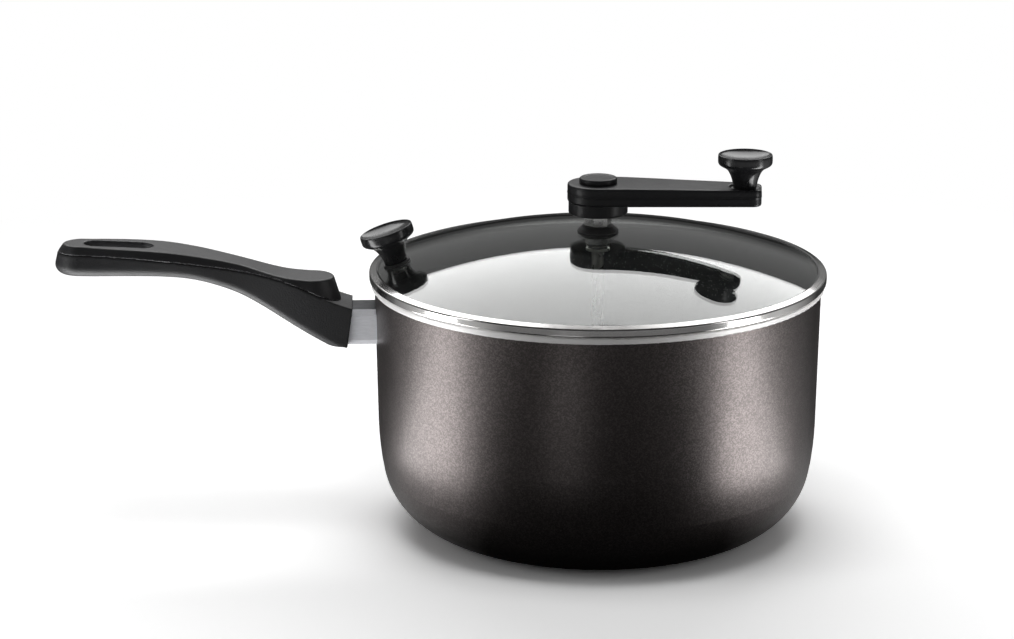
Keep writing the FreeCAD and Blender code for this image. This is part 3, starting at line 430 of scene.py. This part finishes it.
def softened(name, node, voxel, steps):
    """A copy of a node, rebuilt with faces of the voxel's size and smoothed in that many steps."""
    deselect()
    piece = frame["nodes"][node].copy()
    piece.data = piece.data.copy()
    piece.name = name
    piece.parent = None
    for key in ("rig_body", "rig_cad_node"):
        del piece[key]
    bpy.context.scene.collection.objects.link(piece)
    bpy.context.view_layer.objects.active = piece
    piece.select_set(True)
    bpy.ops.object.mode_set(mode="EDIT")
    bpy.ops.mesh.select_all(action="SELECT")
    bpy.ops.mesh.remove_doubles(threshold=0.00001)
    bpy.ops.object.mode_set(mode="OBJECT")
    bpy.ops.mesh.customdata_custom_splitnormals_clear()
    rebuild = piece.modifiers.new("rebuild", "REMESH")
    rebuild.mode = "VOXEL"
    rebuild.voxel_size = voxel
    polish = piece.modifiers.new("polish", "SMOOTH")
    polish.factor = 0.5
    polish.iterations = steps
    for modifier in ("rebuild", "polish"):
        bpy.ops.object.modifier_apply(modifier=modifier)
    bpy.ops.object.shade_smooth()
    return piece


settle(softened("grip_body", "handle_body", 0.0005, 3), "pan", "grained_black", "handle_body")
settle(softened("grip_top", "handle_top_grip", 0.00045, 6), "pan", "satin_black", "handle_top_grip")

# %% [markdown]
# ## The crank arm's mould line
# The arm is moulded in two halves of a tool, and where they meet there is a faint line round its side. After
# the same rounding, Bisect cuts the mesh level at mid-height, Bevel widens the cut to a narrow band, and
# Shrink/Fatten lifts that band by a tenth of a millimetre.

# %% Crank arm
arm_low, arm_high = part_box("crank_arm")
line_z = arm_low.z + 0.52 * (arm_high.z - arm_low.z)
line_width = 0.00025
line_lift = 0.00012

arm = softened("arm", "crank_arm", 0.0005, 4)
bpy.ops.object.mode_set(mode="EDIT")
bpy.ops.mesh.select_all(action="SELECT")
bpy.ops.mesh.bisect(plane_co=(0, 0, line_z), plane_no=(0, 0, 1))
bpy.ops.mesh.bevel(offset=line_width, segments=2, affect="EDGES")
bpy.ops.transform.shrink_fatten(value=line_lift)
bpy.ops.object.mode_set(mode="OBJECT")
settle(arm, "crank", "moulded_black", "crank_arm")

# %% [markdown]
# ## Knobs
# Both knobs come from one mould: a waisted neck, a flare, an upright band, and a rolled rim round a hollow
# that the fingertip rests in. A turned shape can be spun from an outline, but extruding a circle upwards
# ring by ring keeps even faces, which Subdivision Surface then rounds. Close rings hold an edge, and far
# ones let it flow.

# %% One knob at the origin
knob_low, knob_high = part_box("crank_knob")
knob_r = (knob_high.x - knob_low.x) / 2
knob_height = knob_high.z - knob_low.z
knob_rings = ((0.40, 0.0), (0.43, 0.008), (0.434, 0.07), (0.455, 0.18), (0.515, 0.36), (0.62, 0.52),
              (0.70, 0.585), (0.84, 0.645), (0.955, 0.69), (0.995, 0.745), (1.0, 0.80), (1.0, 0.93),
              (0.99, 0.985), (0.962, 1.0), (0.935, 0.982), (0.91, 0.955), (0.78, 0.912), (0.55, 0.862),
              (0.28, 0.836), (0.05, 0.830))


def turn_up(name, rings, radius, height, segments=40, levels=2):
    """A turned shape on the origin, from (share of radius, share of height) rings, from its foot up."""
    deselect()
    first, foot = rings[0]
    bpy.ops.mesh.primitive_circle_add(vertices=segments, radius=first * radius, fill_type="NGON",
                                      location=(0, 0, foot * height))
    piece = bpy.context.object
    piece.name = name
    bpy.ops.object.mode_set(mode="EDIT")
    bpy.ops.mesh.select_all(action="SELECT")
    for (before, low), (after, high) in zip(rings, rings[1:]):
        bpy.ops.mesh.extrude_region_move(TRANSFORM_OT_translate={"value": (0, 0, (high - low) * height)})
        bpy.ops.transform.resize(value=(after / before, after / before, 1))
    bpy.ops.mesh.select_all(action="SELECT")
    bpy.ops.mesh.normals_make_consistent(inside=False)
    bpy.ops.object.mode_set(mode="OBJECT")
    rounding = piece.modifiers.new("rounding", "SUBSURF")
    rounding.levels = rounding.render_levels = levels
    bpy.ops.object.modifier_apply(modifier="rounding")
    bpy.ops.object.shade_smooth()
    bpy.ops.object.transform_apply(location=True, rotation=True, scale=True)
    return piece


def put(piece, turn, place):
    """Turn a finished shape and move it to its place, in its mesh."""
    piece.matrix_world = Matrix.Translation(place) @ turn
    deselect()
    bpy.context.view_layer.objects.active = piece
    piece.select_set(True)
    bpy.ops.object.transform_apply(location=True, rotation=True, scale=True)
    return piece


crank_knob_foot = Vector(((knob_low.x + knob_high.x) / 2, (knob_low.y + knob_high.y) / 2, knob_low.z))
turning_knob = put(turn_up("turning_knob", knob_rings, knob_r, knob_height), Matrix(), crank_knob_foot)
settle(turning_knob, "knob", "gloss_black", "crank_knob")

# %% [markdown]
# ## The lid's knob
# The same knob stands square to the glass near its edge. The glass is part of a large sphere, so the knob's
# lean follows from how far out it stands.

# %% Lid knob
dome_r = 0.333
washer_low, washer_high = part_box("lid_knob_washer")
glass_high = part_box("lid_glass")[1]
washer_thickness = 0.0009
knob_reach = -(washer_low.x + washer_high.x) / 2
lean = math.asin(knob_reach / dome_r)
up_and_out = Vector((-math.sin(lean), 0, math.cos(lean)))
lid_knob_foot = Vector((0, 0, glass_high.z - dome_r)) + up_and_out * (dome_r + washer_thickness)
fixed_knob = put(turn_up("fixed_knob", knob_rings, knob_r, knob_height), Matrix.Rotation(-lean, 4, "Y"),
                 lid_knob_foot)
settle(fixed_knob, "lid", "gloss_black", "lid_knob")

# %% [markdown]
# ## The cap on the crank
# A push-in button hides the nut. Its edge is rounded and its face sinks in a little from a narrow flat
# border, because a thick moulding shrinks as it cools.

# %% Crank cap
cap_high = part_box("crank_cap")[1]
cap_r = cap_high.x
cap_height = cap_high.z - arm_high.z
cap_rings = ((0.9, 0.0), (0.985, 0.02), (1.0, 0.12), (1.0, 0.62), (0.985, 0.86), (0.94, 0.985), (0.90, 1.0),
             (0.80, 1.0), (0.775, 0.985), (0.76, 0.95), (0.70, 0.93), (0.4, 0.91), (0.05, 0.90))
button = put(turn_up("button", cap_rings, cap_r, cap_height), Matrix(), Vector((0, 0, arm_high.z)))
settle(button, "crank", "moulded_black", "crank_cap")

# %% [markdown]
# ## Floor
# The floor is a large whitish disc. Seen by the camera, or through the glass, it fades to the white of the
# backdrop with distance, through Light Path, which can tell what kind of ray is asking. Near the pan it keeps
# the shadow. What the pan's side mirrors is mostly this floor, and for mirrored rays it carries painted light
# and shade: painted light towards each side and far off, and painted shade in the middle and behind.

# %% Floor
# For mirrored rays the floor has painted shade in the middle and painted light at the sides.
mirrored_painted_shade = 0.06
mirrored_painted_light = 0.95
floor_lift = 1.5
fade_from, fade_to = 0.32, 0.75
floor_r = 4.0


def unmirrored(tree, path):
    """1 for the camera's rays, even through glass, and 0 once anything has mirrored them."""
    seen = add(tree, "Math", {0: path.outputs["Is Camera Ray"], 1: path.outputs["Is Transmission Ray"]},
               operation="MAXIMUM")
    plain = add(tree, "Math", {0: path.outputs["Glossy Depth"], 1: 0.5}, operation="LESS_THAN")
    return add(tree, "Math", {0: seen.outputs[0], 1: plain.outputs[0]}, operation="MULTIPLY")


def make_floor_finish():
    material = bpy.data.materials.new("floor_paper")
    material.use_nodes = True
    tree = material.node_tree
    tree.nodes.remove(tree.nodes["Principled BSDF"])
    path = add(tree, "LightPath")
    place = add(tree, "TexCoord").outputs["Object"]
    far = add(tree, "VectorMath", {0: place}, operation="LENGTH").outputs["Value"]
    way = add(tree, "SeparateXYZ", {0: add(tree, "VectorMath", {0: place}, operation="NORMALIZE").outputs[0]})
    # A mask of painted light for mirrored rays: bright towards each side and far off, dark behind.
    aside = add(tree, "Math", {0: way.outputs["X"]}, operation="ABSOLUTE")
    beside = add(tree, "MapRange", {"Value": aside.outputs[0], "From Min": 0.66, "From Max": 0.93})
    front = add(tree, "MapRange", {"Value": way.outputs["Y"], "From Min": 0.6, "From Max": 0.0})
    horizon = add(tree, "MapRange", {"Value": far, "From Min": 0.48, "From Max": 0.85})
    painted_lit_area = add(tree, "Math", {0: beside.outputs["Result"], 1: horizon.outputs["Result"]}, operation="MAXIMUM")
    painted_light_mask = add(tree, "Math", {0: painted_lit_area.outputs[0], 1: front.outputs["Result"]}, operation="MULTIPLY")
    tone = add(tree, "MapRange", {"Value": painted_light_mask.outputs[0], "To Min": mirrored_painted_shade, "To Max": mirrored_painted_light})
    lift = add(tree, "Mix", {"Factor": path.outputs["Is Camera Ray"], "A": tone.outputs["Result"],
                             "B": floor_lift})
    paper = add(tree, "BsdfDiffuse")
    tree.links.new(lift.outputs["Result"], paper.inputs["Color"])
    white = add(tree, "Emission", {"Color": (1, 1, 1, 1), "Strength": 1.0})
    fade = add(tree, "MapRange", {"Value": far, "From Min": fade_from, "From Max": fade_to},
               interpolation_type="SMOOTHSTEP")
    clear = unmirrored(tree, path)
    share = add(tree, "Math", {0: fade.outputs["Result"], 1: clear.outputs[0]}, operation="MULTIPLY")
    mixed = add(tree, "MixShader", {0: share.outputs[0], 1: paper.outputs["BSDF"],
                                    2: white.outputs["Emission"]})
    tree.links.new(mixed.outputs["Shader"], tree.nodes["Material Output"].inputs["Surface"])
    return material


deselect()
bpy.ops.mesh.primitive_circle_add(vertices=64, radius=floor_r, fill_type="NGON", location=(0, 0, 0))
floor = bpy.context.object
floor.name = "floor"
floor.data.materials.append(make_floor_finish())
print("floor radius", floor_r)

# %% [markdown]
# ## Studio
# A product studio is mostly grey, with a few bright panels that shape the reflections. A tall panel and a
# glowing board on the floor, on each side, draw the two soft stripes down the pan. A small board in front
# lights the flame guard. A wide panel behind and above is what the front of the lid mirrors, and it ends
# where the lid turns clear.
# The panels' strengths are given as radiance, and the lamp's power follows from its area.

# %% Lamps
def panel(name, place, target, width, height, radiance):
    """A rectangular lamp facing a target."""
    data = bpy.data.lights.new(name, "AREA")
    data.shape = "RECTANGLE"
    data.size, data.size_y = width, height
    data.energy = radiance * width * height * math.pi
    lamp = bpy.data.objects.new(name, data)
    lamp.location = place
    lamp.rotation_euler = (Vector(target) - Vector(place)).to_track_quat("-Z", "Y").to_euler()
    lamp.visible_camera = False
    bpy.context.scene.collection.objects.link(lamp)
    return lamp


waist = (0, 0, 0.07)
panel("left_panel", (-1.35, -0.42, 0.52), waist, 0.30, 1.0, 2.6)
panel("right_panel", (1.25, -0.68, 0.52), waist, 0.26, 1.0, 2.4)
panel("back_panel", (0, 1.22, 1.18), (0, 0, 0.15), 1.8, 0.9, 2.9)
overhead = panel("top_panel", (-0.1, -0.3, 1.6), (0, 0, 0.1), 1.0, 0.8, 3.0)
overhead.visible_glossy = False


board_z = 0.002


def board(name, bearing, near, far, width, radiance):
    """A lamp lying on the floor and shining up, from near to far along a bearing in degrees from +X."""
    turn = math.radians(bearing)
    middle = (near + far) / 2
    place = (math.cos(turn) * middle, math.sin(turn) * middle, board_z)
    lamp = panel(name, place, (0, 0, 0), far - near, width, radiance)
    lamp.rotation_euler = (math.pi, 0, turn)
    return lamp


board("left_board", -170, 0.19, 0.95, 0.16, 6.4)
board("right_board", -24, 0.19, 0.95, 0.15, 6.6)
board("guard_board", -107, 0.27, 0.50, 0.09, 0.9)

# %% [markdown]
# ## World
# The world fills in from everywhere. The camera sees it as white, even through glass. Mirrors see a dim
# studio, a little brighter behind the object and above the horizon.

# %% World
def make_world():
    world = bpy.data.worlds.new("studio")
    bpy.context.scene.world = world
    world.use_nodes = True
    tree = world.node_tree
    way = add(tree, "SeparateXYZ", {0: add(tree, "TexCoord").outputs["Generated"]})
    behind = add(tree, "MapRange", {"Value": way.outputs["Y"], "From Min": -0.25, "From Max": 0.3})
    above = add(tree, "MapRange", {"Value": way.outputs["Z"], "From Min": 0.02, "From Max": 0.14})
    both = add(tree, "Math", {0: behind.outputs["Result"], 1: above.outputs["Result"]}, operation="MULTIPLY")
    studio = add(tree, "MapRange", {"Value": both.outputs[0], "To Min": 0.05, "To Max": 0.22})
    path = add(tree, "LightPath")
    fill = add(tree, "Background", {"Color": (1, 1, 1, 1), "Strength": 0.16})
    mirrored = add(tree, "Background", {"Color": (1, 1, 1, 1), "Strength": studio.outputs["Result"]})
    white = add(tree, "Background", {"Color": (1, 1, 1, 1), "Strength": 1.0})
    bent = add(tree, "Math", {0: path.outputs["Is Glossy Ray"], 1: path.outputs["Is Transmission Ray"]},
               operation="MAXIMUM")
    room = add(tree, "MixShader", {0: bent.outputs[0], 1: fill.outputs[0], 2: mirrored.outputs[0]})
    plain = unmirrored(tree, path).outputs[0]
    shown = add(tree, "MixShader", {0: plain, 1: room.outputs[0], 2: white.outputs[0]})
    tree.links.new(shown.outputs["Shader"], tree.nodes["World Output"].inputs["Surface"])


make_world()
bpy.context.scene.view_settings.view_transform = "Standard"
print("world", bpy.context.scene.world.name)

# %% [markdown]
# ## Camera
# A long lens from a little above the rim keeps the pan's sides nearly upright and lets the lid's dome
# show.

# %% Camera
camera_place = Vector((-0.11266, -1.53818, 0.53372))
camera_target = Vector((-0.04541, 0.00198, 0.10549))
camera_data = bpy.data.cameras.new("camera")
camera_data.lens = 112.74
camera_data.sensor_width = 36.0
camera = bpy.data.objects.new("camera", camera_data)
camera.location = camera_place
camera.rotation_euler = (camera_target - camera_place).to_track_quat("-Z", "Y").to_euler()
bpy.context.scene.collection.objects.link(camera)
bpy.context.scene.camera = camera
print("camera", [round(v, 3) for v in camera.location])
